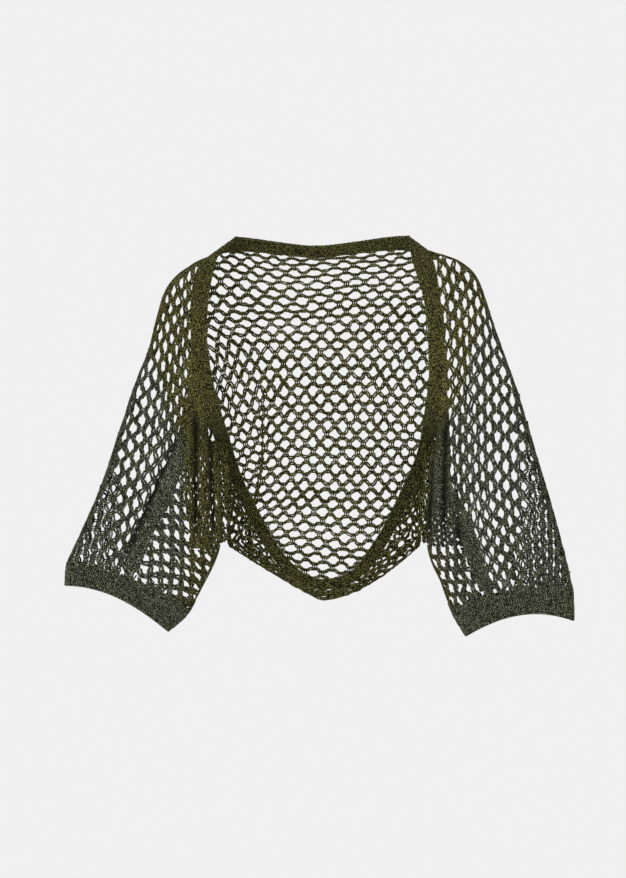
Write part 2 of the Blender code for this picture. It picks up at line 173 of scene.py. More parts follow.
LEFT_SLEEVE = (
    (161, 16, 163, 10, 142, 20, 50, 50, 21, 21, 4, 0),
    (172, 12, 166, 2, 150, 6, 70, 70, 25, 31, 2, 0),
    (183, 9, 169, -7, 158, -10, 90, 90, 31, 40, 0, 0),
    (207, -1, 173, -29, 160, -38, 90, 90, 48, 60, 0, 0),
    (228, -20, 176, -57, 162, -70, 90, 90, 63, 72, 0, 0),
    (241, -51, 179, -93, 165, -107, 90, 90, 74, 80, 0, 0),
    (254, -91, 181, -130, 168, -145, 92, 92, 80, 84, 0, 0),
    (270, -136, 183, -171, 171, -181, 98, 98, 82, 80, 0, 0),
    (288, -186, 178, -209, 168, -213, 112, 115, 79, 77, 0, 0),
    (297, -215, 173, -235, 167, -238, 138, 138, 76, 74, 2, 0),
    (306, -244, 168, -260, 168, -260, 180, 180, 71, 69, 8, 0),
    (320, -292, 165, -291, 165, -291, 180, 180, 66, 65, 6, 0),
    (334, -338, 161, -338, 161, -338, 180, 180, 62, 62, 4, 0),
    (346, -381, 158, -384, 158, -384, 180, 180, 59, 59, 2, 0),
    (355, -416, 162, -426, 162, -426, 180, 180, 58, 58, 0, 2),
    (363, -448, 178, -463, 178, -463, 180, 180, 56, 56, 0, 6),
    (369, -481, 196, -510, 196, -510, 180, 180, 54, 54, 0, 15),
    (370, -520, 215, -542, 215, -542, 180, 180, 54, 54, 0, 21),
)

# Inner edge of each front band from the shoulder: one point before the first sleeve ring,
# then one a ring down to the underarm: x y z.
RIGHT_BAND_INNER = (
    (-117, 10, 37),
    (-125, 1, 29),
    (-132, -6, 22),
    (-145, -20, 8),
    (-152, -37, -21),
    (-157, -51, -50),
    (-160, -65, -90),
    (-158, -74, -130),
    (-151, -78, -172),
    (-143, -69, -205),
    (-136, -42, -230),
    (-128, 12, -255),
)
LEFT_BAND_INNER = (
    (130, 10, 38),
    (132, 0, 26),
    (134, -8, 14),
    (137, -20, -2),
    (143, -37, -22),
    (151, -52, -50),
    (157, -66, -88),
    (160, -74, -128),
    (159, -78, -168),
    (155, -69, -204),
    (152, -42, -230),
    (149, 12, -255),
)

# Back neck band from right to left shoulder: inner edge x y z, outer edge x y z.
NECK_BAND = (
    (-117, 10, 37, -155, 8, 9),
    (-108, 20, 36, -136, 23, 17),
    (-95, 29, 34.5, -106, 40, 20),
    (-60, 44, 30, -65, 54, 17),
    (-22, 52, 25.5, -22, 62, 12),
    (0, 54, 25, 0, 64, 11),
    (20, 53, 26, 20, 63, 13),
    (60, 45, 31, 62, 55, 18),
    (97, 32, 36, 104, 42, 22),
    (116, 21, 37.5, 134, 25, 22),
    (130, 10, 38, 158, 8, 17),
)

# Hem band from right to left underarm: inner edge x y z, outer edge x y z.
HEM_BAND = (
    (-128, 12, -255, -149, 10, -260),
    (-121, 43, -281, -139, 43, -286),
    (-109, 67, -316, -125, 70, -325),
    (-90, 83, -355, -106, 85, -365),
    (-70, 92, -394, -85, 93, -405),
    (-47, 98, -428, -59, 98, -442),
    (-20, 101, -454, -28, 101, -469),
    (3, 102, -462, 5, 102, -478),
    (33, 101, -458, 39, 101, -473),
    (54, 99, -446, 64, 99, -459),
    (73, 95, -420, 89, 95, -431),
    (93, 87, -389, 109, 88, -398),
    (113, 74, -349, 130, 76, -357),
    (133, 46, -305, 150, 49, -310),
    (143, 28, -279, 160, 28, -284),
    (149, 12, -255, 168, 10, -260),
)

# Back panel rows: centre x y z, then below the underarm each side edge x y z.
BODY_CENTRE = (
    (0, 64, 11), (0, 68, 2), (0, 74, -9), (0, 84, -35), (0, 94, -67), (0, 103, -104),
    (0, 109, -144), (0, 113, -183), (0, 115, -213), (1, 117, -236), (2, 118, -262),
    (3, 119, -297), (4, 121, -348), (6, 123, -400), (6, 124, -454), (6, 121, -484),
    (6, 113, -494),
)
BODY_RIGHT_SIDE = (
    (-149, 12, -260), (-141, 54, -290), (-136, 82, -334), (-133, 96, -374),
    (-133, 102, -403), (-132, 103, -410), (-130, 104, -415),
)
BODY_LEFT_SIDE = (
    (168, 12, -260), (160, 54, -290), (154, 82, -334), (152, 96, -374),
    (151, 102, -403), (150, 103, -410), (148, 104, -415),
)

# Net guides. Each row is one line across the courses, counted in half meshes: its count,
# then x z at every listed place along the courses. A mesh opening lies at each place where
# the two counts add up to an even number.
BODY_ALONG = (-20, -12, -4, 4, 12)
BODY_GUIDE = (
    (-2, -251, 62, -151, 43, -54, 23, 61, 26, 178, 43),
    (3, -238, -2, -145, -5, -47, -17, 67, -12, 172, -5),
    (8, -223, -67, -135, -67, -34, -67, 66, -59, 157, -57),
    (13, -207, -134, -118, -125, -30, -120, 62, -120, 145, -122),
    (18, -193, -203, -107, -195, -29, -187, 58, -185, 136, -190),
    (23, -188, -268, -107, -262, -28, -250, 56, -251, 135, -252),
    (28, -193, -327, -109, -322, -29, -312, 57, -314, 138, -312),
    (33, -207, -379, -122, -377, -41, -372, 52, -377, 143, -372),
    (38, -228, -426, -141, -424, -53, -425, 47, -434, 144, -432),
    (43, -252, -471, -159, -474, -62, -480, 42, -487, 144, -491),
)
# On the wearer's right of the pinched fold the meshes run out of step with the rest.
BODY_SIDE_ALONG = (-21, -13, -5)
BODY_SIDE_GUIDE = (
    (9, -190, -86, -128, -69, -45, -68),
    (15, -172, -172, -116, -155, -42, -145),
    (21, -169, -254, -103, -239, -33, -219),
    (27, -155, -324, -84, -304, -16, -286),
    (33, -133, -389, -64, -370, 3, -352),
)
LEFT_SLEEVE_ALONG = (-24, -17, -10, -3, 4, 11, 18)
LEFT_SLEEVE_GUIDE = (
    (-8, 132, 29, 150, -67, 162, -161, 166, -252, 172, -342, 181, -432, 193, -521),
    (-4, 170, 36, 191, -51, 199, -146, 201, -243, 205, -342, 216, -432, 236, -518),
    (0, 213, 40, 230, -46, 235, -142, 237, -241, 241, -340, 255, -431, 276, -514),
    (4, 258, 40, 269, -54, 279, -148, 283, -239, 285, -338, 294, -426, 304, -514),
    (8, 304, 37, 313, -58, 322, -153, 328, -246, 331, -343, 332, -432, 333, -521),
    (12, 349, 34, 358, -62, 365, -158, 371, -253, 373, -347, 371, -439, 366, -529),
)
RIGHT_SLEEVE_ALONG = (-20, -13, -6, 1, 8, 15)
RIGHT_SLEEVE_GUIDE = (
    (-8, -133, -13, -149, -109, -163, -204, -174, -296, -185, -387, -196, -477),
    (-4, -164, -2, -184, -92, -195, -189, -205, -285, -220, -375, -235, -466),
    (0, -199, 8, -216, -81, -227, -179, -239, -273, -257, -366, -274, -454),
    (4, -234, 14, -251, -81, -269, -174, -283, -265, -299, -354, -313, -443),
    (8, -269, 17, -288, -76, -307, -167, -324, -256, -340, -343, -354, -431),
)
# Below the slanting gather each sleeve's meshes stand square.
RIGHT_GUSSET_ALONG = (-6, 0, 6)
RIGHT_GUSSET_GUIDE = (
    (-9, -190, -254, -157, -330, -115, -407),
    (-3, -238, -308, -198, -370, -152, -440),
    (3, -297, -372, -242, -419, -199, -474),
    (9, -347, -439, -292, -478, -247, -516),
)
LEFT_GUSSET_ALONG = (-6, 6)
LEFT_GUSSET_GUIDE = (
    (-6, 218, -364, 292, -473),
    (6, 144, -473, 218, -582),
)

# Gathered stretches of sleeve, where the courses lie packed side by side. Stations run down
# the gather: outer side x z, inner side x z.
RIGHT_BUNDLE = (
    (-184, -140, -181, -140), (-187, -190, -171, -190), (-192, -226, -160, -228),
    (-194, -262, -142, -262), (-194, -300, -132, -300), (-193, -340, -127, -340),
    (-188, -380, -126, -382), (-184, -416, -132, -418),
)
RIGHT_GATHER = (
    (-196, -232, -184, -232), (-210, -272, -186, -272), (-225, -302, -200, -310),
    (-244, -345, -217, -352), (-258, -374, -235, -384), (-277, -410, -250, -420),
    (-291, -440, -262, -452),
)
LEFT_BUNDLE = (
    (185, -150, 183, -150), (186, -190, 179, -190), (189, -230, 173, -230),
    (191, -268, 155, -268), (195, -323, 144, -323), (207, -345, 142, -345),
    (216, -362, 141, -362), (226, -389, 141, -389), (230, -412, 145, -412),
)
LEFT_GATHER = (
    (216, -362, 196, -372), (226, -389, 203, -395), (232, -410, 212, -414),
    (237, -428, 216, -430), (246, -452, 226, -454), (254, -474, 236, -478),
)

# Pinched fold down the back: x z where it starts, bends and ends, and its form.
PINCH_LINE = (
    (-74, -120), (-78, -164), (-81, -258), (-81, -287), (-90, -342), (-94, -349), (-99, -380),
)
PINCH_TOP = -180.0
PINCH_END = -350.0
PINCH_FADE = 40.0
PINCH_DEPTH = 4.5
PINCH_WIDTH = 5.0
# The side's meshes take over, then fold in, from this far above the fold over this height.
SIDE_MESHES = (95.0, 60.0)
FOLDED_IN = (35.0, 30.0)
MESH_BLEND = 80.0

# Soft folds on the sleeves: top x z, bottom x z, depth (a groove is negative), half width.
RIGHT_SLEEVE_FOLDS = (
    (-186, -205, -187, -440, 6.0, 4.5),
    (-177, -190, -177, -420, -8.0, 4.0),
    (-167, -195, -165, -430, 7.0, 4.5),
    (-158, -215, -150, -420, -8.0, 4.5),
    (-150, -250, -141, -430, 5.0, 4.0),
    (-196, -240, -287, -450, -4.0, 5.0),
    (-186, -262, -262, -450, 4.0, 8.0),
)
LEFT_SLEEVE_FOLDS = (
    (168, -220, 160, -420, -7.5, 4.5),
    (177, -180, 171, -430, 7.0, 4.5),
    (186, -200, 181, -430, -7.0, 4.0),
    (194, -240, 192, -430, 6.0, 5.0),
    (200, -320, 204, -440, -5.0, 4.5),
    (198, -330, 254, -480, 3.5, 9.0),
)

# Where the olive yarn of the body gives way to grey-green down each sleeve: z x.
RIGHT_TONE_LINE = (
    (-560, -206), (-520, -206), (-490, -200), (-410, -192), (-258, -193), (-229, -209),
    (-171, -226), (-113, -250), (-60, -280), (60, -300),
)
LEFT_TONE_LINE = (
    (-560, 215), (-490, 197), (-454, 184), (-420, 168), (-403, 160), (-316, 163), (-244, 177),
    (-225, 188), (-200, 204), (-142, 220), (-70, 245), (60, 300),
)

# Each sleeve: its rings, guides of the main net and of the gusset, bundle, gather, folds, tone
# line, x where the back half's meshes start to be set aside, and the seed of its first net.
SLEEVES = {
    "right": (RIGHT_SLEEVE, (RIGHT_SLEEVE_ALONG, RIGHT_SLEEVE_GUIDE),
              (RIGHT_GUSSET_ALONG, RIGHT_GUSSET_GUIDE), RIGHT_BUNDLE, RIGHT_GATHER,
              RIGHT_SLEEVE_FOLDS, RIGHT_TONE_LINE, -236.0, 31),
    "left": (LEFT_SLEEVE, (LEFT_SLEEVE_ALONG, LEFT_SLEEVE_GUIDE),
             (LEFT_GUSSET_ALONG, LEFT_GUSSET_GUIDE), LEFT_BUNDLE, LEFT_GATHER,
             LEFT_SLEEVE_FOLDS, LEFT_TONE_LINE, 233.0, 41),
}


# Surfaces

def smooth_rows(table, rows):
    """Table values at fractional rows, by the same smooth curve as the solids."""
    values = np.array(table, float)
    rows = np.asarray(rows, float)
    last = len(values) - 1
    low = np.clip(np.floor(rows).astype(int), 0, last - 1)
    f = (rows - low)[..., None]
    before = values[np.maximum(low - 1, 0)]
    start = values[low]
    end = values[low + 1]
    after = values[np.minimum(low + 2, last)]
    still = start == end
    m1 = np.where(still, 0.0, (end - before) / 2.0)
    m2 = np.where(still, 0.0, (after - start) / 2.0)
    cubic = (2 * start - 2 * end + m1 + m2) * f ** 3
    square = (-3 * start + 3 * end - 2 * m1 - m2) * f ** 2
    return cubic + square + m1 * f + start


def ramp(v):
    v = np.clip(v, 0.0, 1.0)
    return v * v * (3.0 - 2.0 * v)


def unit(vectors):
    return vectors / np.maximum(np.linalg.norm(vectors, axis=-1, keepdims=True), 1e-9)


def lengths(points):
    """Length along a line of points, up to each of them."""
    return np.concatenate([[0.0], np.cumsum(np.linalg.norm(np.diff(points, axis=0), axis=1))])


def spaced(goal, length, points):
    """Places at the given lengths along a line of points."""
    return np.stack([np.interp(goal, length, column) for column in points.T], -1)


def sleeve_points(table, rows, around):
    """Points on a sleeve: around runs from -1 at the front edge over 0 outside to 1 behind."""
    rows, around = np.broadcast_arrays(np.asarray(rows, float), np.asarray(around, float))
    ox, oz, fx, fz, bx, bz, af, ab, df, db, y0, sag = np.moveaxis(smooth_rows(table, rows), -1, 0)
    front = around < 0
    sweep = np.minimum(np.where(front, af, ab), 180.0)
    sweep = np.radians(np.where(rows >= ROW_UNDERARM, 180.0, sweep))
    edge_x = np.where(front, fx, bx)
    edge_z = np.where(front, fz, bz)
    depth = np.where(front, -df, db)
    angle = sweep * np.abs(around)
    part = (1.0 - np.cos(angle)) / (1.0 - np.cos(sweep))
    x = ox + (edge_x - ox) * part
    y = y0 + depth * np.sin(angle)
    z = oz + (edge_z - oz) * part + 4.0 * sag * part * (1.0 - part)
    return np.stack([x, y, z], -1)


def body_edge(side, rows):
    table, lower = (RIGHT_SLEEVE, BODY_RIGHT_SIDE) if side < 0 else (LEFT_SLEEVE, BODY_LEFT_SIDE)
    upper_part = sleeve_points(table, np.minimum(rows, ROW_UNDERARM), 1.0)
    lower_part = smooth_rows(lower, np.maximum(rows - ROW_UNDERARM, 0.0))
    return np.where((rows <= ROW_UNDERARM)[..., None], upper_part, lower_part)


def body_formula(rows, s):
    """Back panel points: rows down the back, s from -1 at its right edge to 1 at its left.

    Across, the panel grows squarer below row 7; down, its lower rows hang in a deeper curve.
    """
    rows, s = np.broadcast_arrays(np.asarray(rows, float), np.asarray(s, float))
    edge = np.where((s < 0)[..., None], body_edge(-1, rows), body_edge(1, rows))
    centre = smooth_rows(BODY_CENTRE, rows)
    x = centre[..., 0] + (edge[..., 0] - centre[..., 0]) * np.abs(s)
    curve = np.maximum(1.0 - s * s, 0.0) ** (1.0 - 0.55 * ramp((rows - 7.0) / 3.0))
    y = edge[..., 1] + (centre[..., 1] - edge[..., 1]) * curve
    lower = ramp((rows - ROW_UNDERARM) / 4.0)
    power = 2.0 - lower * np.where(s < 0, 0.9, 0.3)
    z = edge[..., 2] + (centre[..., 2] - edge[..., 2]) * (1.0 - np.abs(s) ** power)
    return np.stack([x, y, z], -1)


def body_points(rows, s):
    """Back panel points, the first three rows drawn up to the neck band."""
    first, last = NECK_SPAN
    neck = smooth_rows(NECK_BAND, first + (last - first) * (np.asarray(s) + 1.0) / 2.0)[..., 3:6]
    pull = (neck - body_formula(0.0, s)) * (1.0 - ramp(np.asarray(rows) / 3.0))[..., None]
    return body_formula(rows, s) + pull


class Cloth:
    """A surface as an even field: two flat coordinates give a point and its outward side."""

    def __init__(self, along, down, points, outward):
        self.start = np.array([along[0], down[0]])
        self.step = np.array([along[1] - along[0], down[1] - down[0]])
        self.points = points
        side = unit(np.cross(np.gradient(points, axis=1), np.gradient(points, axis=0)))
        side = side * (np.sign(np.nansum(side * outward)) or 1.0)
        self.side = np.where(np.isnan(side), np.array(outward, float), side)

    def at(self, places):
        """Point and outward side at flat places; nan where there is no cloth."""
        f = (places - self.start) / self.step
        rows, cols = self.points.shape[:2]
        outside = (f < 0).any(axis=1) | (f[:, 0] > cols - 1) | (f[:, 1] > rows - 1)
        f = np.clip(np.nan_to_num(f), 0.0, [cols - 1.001, rows - 1.001])
        i, j = np.floor(f).astype(int).T
        a, b = (f - np.floor(f)).T[..., None]

        def blend(grid):
            low = grid[j, i] * (1 - a) + grid[j, i + 1] * a
            high = grid[j + 1, i] * (1 - a) + grid[j + 1, i + 1] * a
            return low * (1 - b) + high * b

        points = blend(self.points)
        points[outside] = np.nan
        return points, unit(blend(self.side))

    def seen_at(self, places):
        """As at, for places given as the camera sees them rather than straight from the front."""
        points, _ = self.at(places)
        depth = np.nan_to_num(points[:, 1:2], nan=0.0)
        middle = np.array([CAMERA_AIM[0], CAMERA_AIM[2]])
        return self.at(middle + (places - middle) * (1.0 + depth / CAMERA_DISTANCE))


def level_cloth(columns, outward, reach, shape):
    """Cloth read level by level from columns of points, its steep sides spread out.

    The middle column keeps its place. reach is how far the cloth goes on past its first and
    its last column, and shape adds the folds.
    """
    count = len(columns)
    anchor = (count - 1) / 2.0
    levels = np.arange(columns[..., 2].min(), columns[..., 2].max() + LEVEL_STEP, LEVEL_STEP)
    x = np.empty((count, len(levels)))
    y = np.empty_like(x)
    for k, column in enumerate(columns):
        upward = column[::-1]
        z = np.maximum.accumulate(upward[:, 2] + np.arange(len(upward)) * 1e-6)
        z = np.concatenate([[z[0] - 0.3], z, [z[-1] + 0.5]])
        for value, n in ((x, 0), (y, 1)):
            line = np.pad(upward[:, n], 1, mode="edge")
            value[k] = np.interp(levels, z, line, left=np.nan, right=np.nan)
    y = shape(x, np.broadcast_to(levels, x.shape), y)
    spread = {}
    for h in range(len(levels)):
        good = ~np.isnan(x[:, h])
        xs, ys = x[good, h], y[good, h]
        if len(xs) < 3:
            continue
        dx = np.diff(xs)
        sign = 1.0 if xs[-1] > xs[0] else -1.0
        arc = np.hypot(dx, np.diff(ys))
        flat = np.concatenate([[0.0], np.cumsum(np.maximum(np.abs(dx), STEEP_SHARE * arc))])
        numbers = np.arange(count)[good]
        middle = np.interp(anchor, numbers, flat)
        flat = (flat - middle) * sign + np.interp(anchor, numbers, xs)
        first, last = sign * reach[0], sign * reach[1]
        flat = np.concatenate([[flat[0] - first], flat, [flat[-1] + last]])
        xs = np.concatenate([[xs[0] - first], xs, [xs[-1] + last]])
        ys = np.pad(ys, 1, mode="edge")
        turn = slice(None, None, -1) if sign < 0 else slice(None)
        spread[h] = (flat[turn], xs[turn], ys[turn])
    start = min(s[0][0] for s in spread.values())
    along = np.arange(start, max(s[0][-1] for s in spread.values()), LEVEL_STEP)
    points = np.full((len(levels), len(along), 3), np.nan)
    for h, (flat, xs, ys) in spread.items():
        points[h, :, 0] = np.interp(along, flat, xs, left=np.nan, right=np.nan)
        points[h, :, 1] = np.interp(along, flat, ys, left=np.nan, right=np.nan)
        points[h, :, 2] = np.where(np.isnan(points[h, :, 0]), np.nan, levels[h])
    return Cloth(along, levels, points, outward)


def fold_strength(fold, x, z):
    """How strongly a straight soft fold shows at x z; it fades at its ends."""
    x0, z0, x1, z1, _, width = fold
    f = (z0 - z) / (z0 - z1)
    fade = ramp(f / FOLD_FADE) * ramp((1.0 - f) / FOLD_FADE)
    return fade * np.exp(-(((x - x0 - (x1 - x0) * f) / width) ** 2))


def pinch_x(z):
    return np.interp(-z, [-p[1] for p in PINCH_LINE], [p[0] for p in PINCH_LINE])


def pinch_shape(x, z, y):
    """The narrow pinched fold that stands in from the back panel."""
    fade = ramp((PINCH_TOP - z) / PINCH_FADE) * ramp((z - PINCH_END) / PINCH_FADE)
    return y - PINCH_DEPTH * fade * np.exp(-(((x - pinch_x(z)) / PINCH_WIDTH) ** 2))


def sleeve_cloth(table, side, folds):
    """The front half (side -1) or the back half (side 1) of a sleeve, with its soft folds."""
    around = side * np.linspace(0.0, 1.0, SLEEVE_COLUMNS)
    rows = np.linspace(0.0, ROW_CUFF_TOP + CUFF_LAP, 260)
    columns = sleeve_points(table, rows[None, :], around[:, None])

    def folded(x, z, y):
        return y + sum(side * fold[4] * fold_strength(fold, x, z) for fold in folds)

    return level_cloth(columns, (0.0, side, 0.0), (OUTER_LAP, SEAM_LAP), folded)


def back_cloth():
    across = np.linspace(-1.0, 1.0, BACK_COLUMNS)
    rows = np.linspace(0.0, ROW_BODY_END, 300)
    columns = body_points(rows[None, :], across[:, None])
    return level_cloth(columns, (0.0, 1.0, 0.0), (2.0, 2.0), pinch_shape)


def lower_edge_cloth():
    """The strip that turns forward round the back panel's lower edge, up to the hem band."""
    rows = np.linspace(ROW_UNDERARM, ROW_BODY_END, 80)
    across = np.linspace(-1.0, 1.0, 160)
    border = np.concatenate([
        body_points(rows, np.full_like(rows, -1.0)),
        body_points(np.full_like(across, ROW_BODY_END), across)[1:-1],
        body_points(rows[::-1], np.full_like(rows, 1.0)),
    ])
    length = lengths(border)
    share = np.linspace(0.0, 1.0, 320)
    low = spaced(share * length[-1], length, border)
    hem = smooth_rows(HEM_BAND, np.linspace(0.0, len(HEM_BAND) - 1, 301))
    length = lengths(hem[:, 3:])
    edges = spaced((HEM_START + (1 - 2 * HEM_START) * share) * length[-1], length, hem)
    inner, outer = edges[:, :3], edges[:, 3:]
    outer = outer + 0.6 * unit(outer - inner)
    f = np.linspace(0.0, 1.0, 24)
    points = low[None] + (outer - low)[None] * f[:, None, None]
    bulge = np.minimum(np.linalg.norm(outer - low, axis=1) * 0.14, LOWER_EDGE_BULGE)
    points[..., 1] -= np.sin(math.pi * np.minimum(f, 0.999))[:, None] * bulge[None]
    return Cloth(share * length[-1], f * LOWER_EDGE_DEPTH, points, (0.0, -1.0, 0.0)), length[-1]


# Nets

class Guide:
    """Smooth map from mesh counts along and across the courses to a flat place on the cloth."""

    def __init__(self, along, rows):
        table = np.array(rows, float)
        self.start = np.array([along[0], table[0, 0]])
        self.step = np.array([along[1] - along[0], table[1, 0] - table[0, 0]])
        self.places = table[:, 1:].reshape(len(table), -1, 2)

    def at(self, counts):
        f = (counts - self.start) / self.step
        rows, cols = self.places.shape[:2]
        across = self.weights(f[:, 1], rows)
        along = self.weights(f[:, 0], cols)
        return np.einsum("nj,ni,jik->nk", across, along, self.places)

    @staticmethod
    def weights(f, count):
        """Share of each listed line in a smooth curve through them, straight past its ends."""
        low = np.clip(np.floor(f).astype(int), 0, count - 2)
        t = np.clip(f - low, 0.0, 1.0)
        past = f - low - t
        share = (
            (-t + 2 * t ** 2 - t ** 3 + past * (-1 + 4 * t - 3 * t ** 2)) / 2,
            (2 - 5 * t ** 2 + 3 * t ** 3 + past * (-10 * t + 9 * t ** 2)) / 2,
            (t + 4 * t ** 2 - 3 * t ** 3 + past * (1 + 8 * t - 9 * t ** 2)) / 2,
            (-(t ** 2) + t ** 3 + past * (-2 * t + 3 * t ** 2)) / 2,
        )
        out = np.zeros((len(f), count + 2))
        for k in range(4):
            out[np.arange(len(f)), low + k] += share[k]
        out[:, 1] += 2 * out[:, 0]
        out[:, 2] -= out[:, 0]
        out[:, -2] += 2 * out[:, -1]
        out[:, -3] -= out[:, -1]
        return out[:, 1:-1]


class PinchedGuide:
    """The back's meshes, some columns of which the pinched fold takes in."""

    def __init__(self, guide, beside):
        self.guide = guide
        self.beside = beside

    def at(self, counts):
        a = self.guide.at(counts)
        b = self.beside.at(counts)
        past_a = a[:, 0] - pinch_x(a[:, 1])
        past_b = b[:, 0] - pinch_x(b[:, 1])
        folded = np.clip(-past_a / np.maximum(past_b - past_a, 2.0), 0.0, 1.0)
        plain = ramp(0.5 - (past_a + past_b) / MESH_BLEND)
        low = ramp((PINCH_TOP + FOLDED_IN[0] - a[:, 1]) / FOLDED_IN[1])
        share = ramp((PINCH_TOP + SIDE_MESHES[0] - a[:, 1]) / SIDE_MESHES[1])
        return a + (b - a) * (share * (plain + (folded - plain) * low))[:, None]


def rail_guide(stations, steps, courses):
    """Guide between two side rails, for courses that run packed along a gather."""
    rails = np.array(stations, float)
    rows = ([0, *rails[:, 0:2].ravel()], [courses, *rails[:, 2:4].ravel()])
    return Guide([steps * k for k in range(len(rails))], rows)


def inside(places, stations):
    """Which flat places lie between the two rails of a gather."""
    corners = np.array([s[0:2] for s in stations] + [s[2:4] for s in reversed(stations)], float)
    hit = np.zeros(len(places), bool)
    x, z = places.T
    for (x0, z0), (x1, z1) in zip(corners, np.roll(corners, -1, axis=0)):
        if z0 != z1:
            hit ^= ((z0 > z) != (z1 > z)) & (x < (x1 - x0) * (z - z0) / (z1 - z0) + x0)
    return hit


class Yarns:
    """Collects yarn lines as points and edges for one piece."""

    def __init__(self):
        self.points = []
        self.edges = []
        self.girth = []
        self.count = 0

    def add(self, lines, keep, girth):
        """lines: lines x samples x 3, keep: lines x samples, girth: a radius or one a sample."""
        keep = keep & ~np.isnan(lines).any(axis=-1)
        numbers = np.full(keep.shape, -1)
        numbers[keep] = self.count + np.arange(keep.sum())
        both = keep[:, :-1] & keep[:, 1:]
        self.points.append(lines[keep])
        self.edges.append(np.stack([numbers[:, :-1][both], numbers[:, 1:][both]], -1))
        self.girth.append(np.broadcast_to(girth, keep.shape)[keep])
        self.count += int(keep.sum())

    def run(self, line, girth, keep=True):
        """One yarn along a line of points."""
        self.add(line[None], np.broadcast_to(keep, (1, len(line))), girth)


def knit(yarns, cloth, guide, spans, allowed, seed, radius, spread, gap, flat_top=1.9, wobble=0.7,
         loose=0.0, tight=0.34, rungs=3, rung_radius=RUNG_RADIUS, samples=5, full=0.0, seen=True,
         shift=None):
    """Courses of two yarns that swing between neighbours and are tied to them at each knot.

    spans: first and last mesh count along and across; allowed: which flat places are knitted;
    seen: places are as the camera sees them; shift: moves places. The rest is at the top.
    """
    random = np.random.default_rng(seed)
    (first, last), (low, high) = spans
    i = np.linspace(first, last, (last - first) * samples + 1)
    k = np.arange(low, high)
    knots = random.normal(0.0, 1.0, (last - first + 3, high - low + 3, 3))

    def jitter(counts_i, counts_k):
        f = np.clip(counts_i - first, 0, last - first)
        n = np.floor(f).astype(int)
        t = ramp(f - n)[..., None]
        row = np.clip(np.round(counts_k - low).astype(int), 0, high - low + 1)
        return knots[n, row] * (1 - t) + knots[n + 1, row] * t

    def flat(counts_i, counts_j):
        places = guide.at(np.stack([counts_i.ravel(), counts_j.ravel()], -1))
        return places.reshape(*counts_i.shape, 2)

    def lifted(places):
        flat_places = places.reshape(-1, 2)
        if shift:
            flat_places = shift(flat_places)
        found = (cloth.seen_at if seen else cloth.at)(flat_places)
        return [value.reshape(*places.shape[:-1], 3) for value in found]

    def knitted(places):
        return allowed(places.reshape(-1, 2)).reshape(places.shape[:-1])

    gi, gk = np.meshgrid(i, k)
    swing = np.cos(math.pi * (gi + gk))
    swing = np.tanh(flat_top * swing) / math.tanh(flat_top)
    pitch = np.linalg.norm(flat(gi, gk + 1.0) - flat(gi, gk), axis=-1)
    noise = jitter(gi, gk + (swing > 0))
    thin = np.clip(pitch / full, THINNEST, 1.0) if full else 1.0
    knot = gap * (1.0 + loose * noise[..., 2]) / np.maximum(pitch, 0.1)
    gj = gk + 0.5 + (0.5 - np.clip(knot, SMALLEST_KNOT, tight)) * swing
    places = flat(gi, gj) + wobble * noise[..., :2]
    centre, side = lifted(places)
    across_side = np.cross(side, unit(np.gradient(centre, axis=1)))
    twist = 2 * math.pi * (gi * TWIST + random.random((len(k), 1)))
    for sign in (-1.0, 1.0):
        lateral = sign * spread * (1.0 + 0.25 * np.sin(twist * 1.7))
        raised = sign * TWIST_RISE * np.sin(twist)
        line = centre + across_side * (lateral * thin)[..., None] + side * raised[..., None]
        girth = thin * radius * (1.0 + 0.12 * np.sin(twist * 2.3 + sign))
        yarns.add(line, knitted(places), girth)
    if not rungs:
        return
    ki, kk = np.meshgrid(np.arange(first, last + 1), np.arange(low, high + 1))
    odd = (ki + kk) % 2 != 0
    ki = ki[odd].astype(float)
    kk = kk[odd].astype(float)
    pitch_along = np.linalg.norm(flat(ki + 0.5, kk) - flat(ki - 0.5, kk), axis=-1)
    pitch_along = np.maximum(pitch_along, SHORTEST_PITCH)
    pitch_across = np.linalg.norm(flat(ki, kk + 0.5) - flat(ki, kk - 0.5), axis=-1)
    reach = np.clip(gap / np.maximum(pitch_across, 0.1), SMALLEST_KNOT, tight)
    ends = np.linspace(-1.0, 1.0, 3)
    for n in range(rungs):
        offset = (n - (rungs - 1) / 2.0) * RUNG_SPACING / pitch_along
        slant = random.normal(0.0, RUNG_SLANT, len(ki)) / pitch_along
        ri = ki[:, None] + offset[:, None] + slant[:, None] * ends
        rj = kk[:, None] + reach[:, None] * ends
        spots = flat(ri, rj) + wobble * jitter(ki, kk)[:, None, :2]
        points, side = lifted(spots)
        lines = points + side * (RUNG_RISE * (1 - ends ** 2))[None, :, None]
        yarns.add(lines, knitted(spots), rung_radius)


def everywhere(places):
    return np.ones(len(places), bool)


# Node trees

def fill(tree, node, inputs):
    """Fills a node's inputs, each with a value or with another node's output."""
    for name, value in inputs.items():
        if isinstance(value, bpy.types.NodeSocket):
            tree.links.new(value, node.inputs[name])
        else:
            node.inputs[name].default_value = value


def add_node(tree, kind, inputs=None, **settings):
    node = tree.nodes.new(kind)
    for name, value in settings.items():
        setattr(node, name, value)
    fill(tree, node, inputs or {})
    return node


def math_node(tree, operation, *values):
    inputs = dict(enumerate(values))
    return add_node(tree, "ShaderNodeMath", inputs, operation=operation).outputs[0]


def mix_colours(tree, factor, a, b):
    inputs = {"Factor": factor, "A": a, "B": b}
    return add_node(tree, "ShaderNodeMix", inputs, data_type="RGBA").outputs["Result"]


def add_sockets(tree, sockets, in_out="INPUT"):
    for name, kind in sockets:
        tree.interface.new_socket(name, in_out=in_out, socket_type="NodeSocket" + kind)


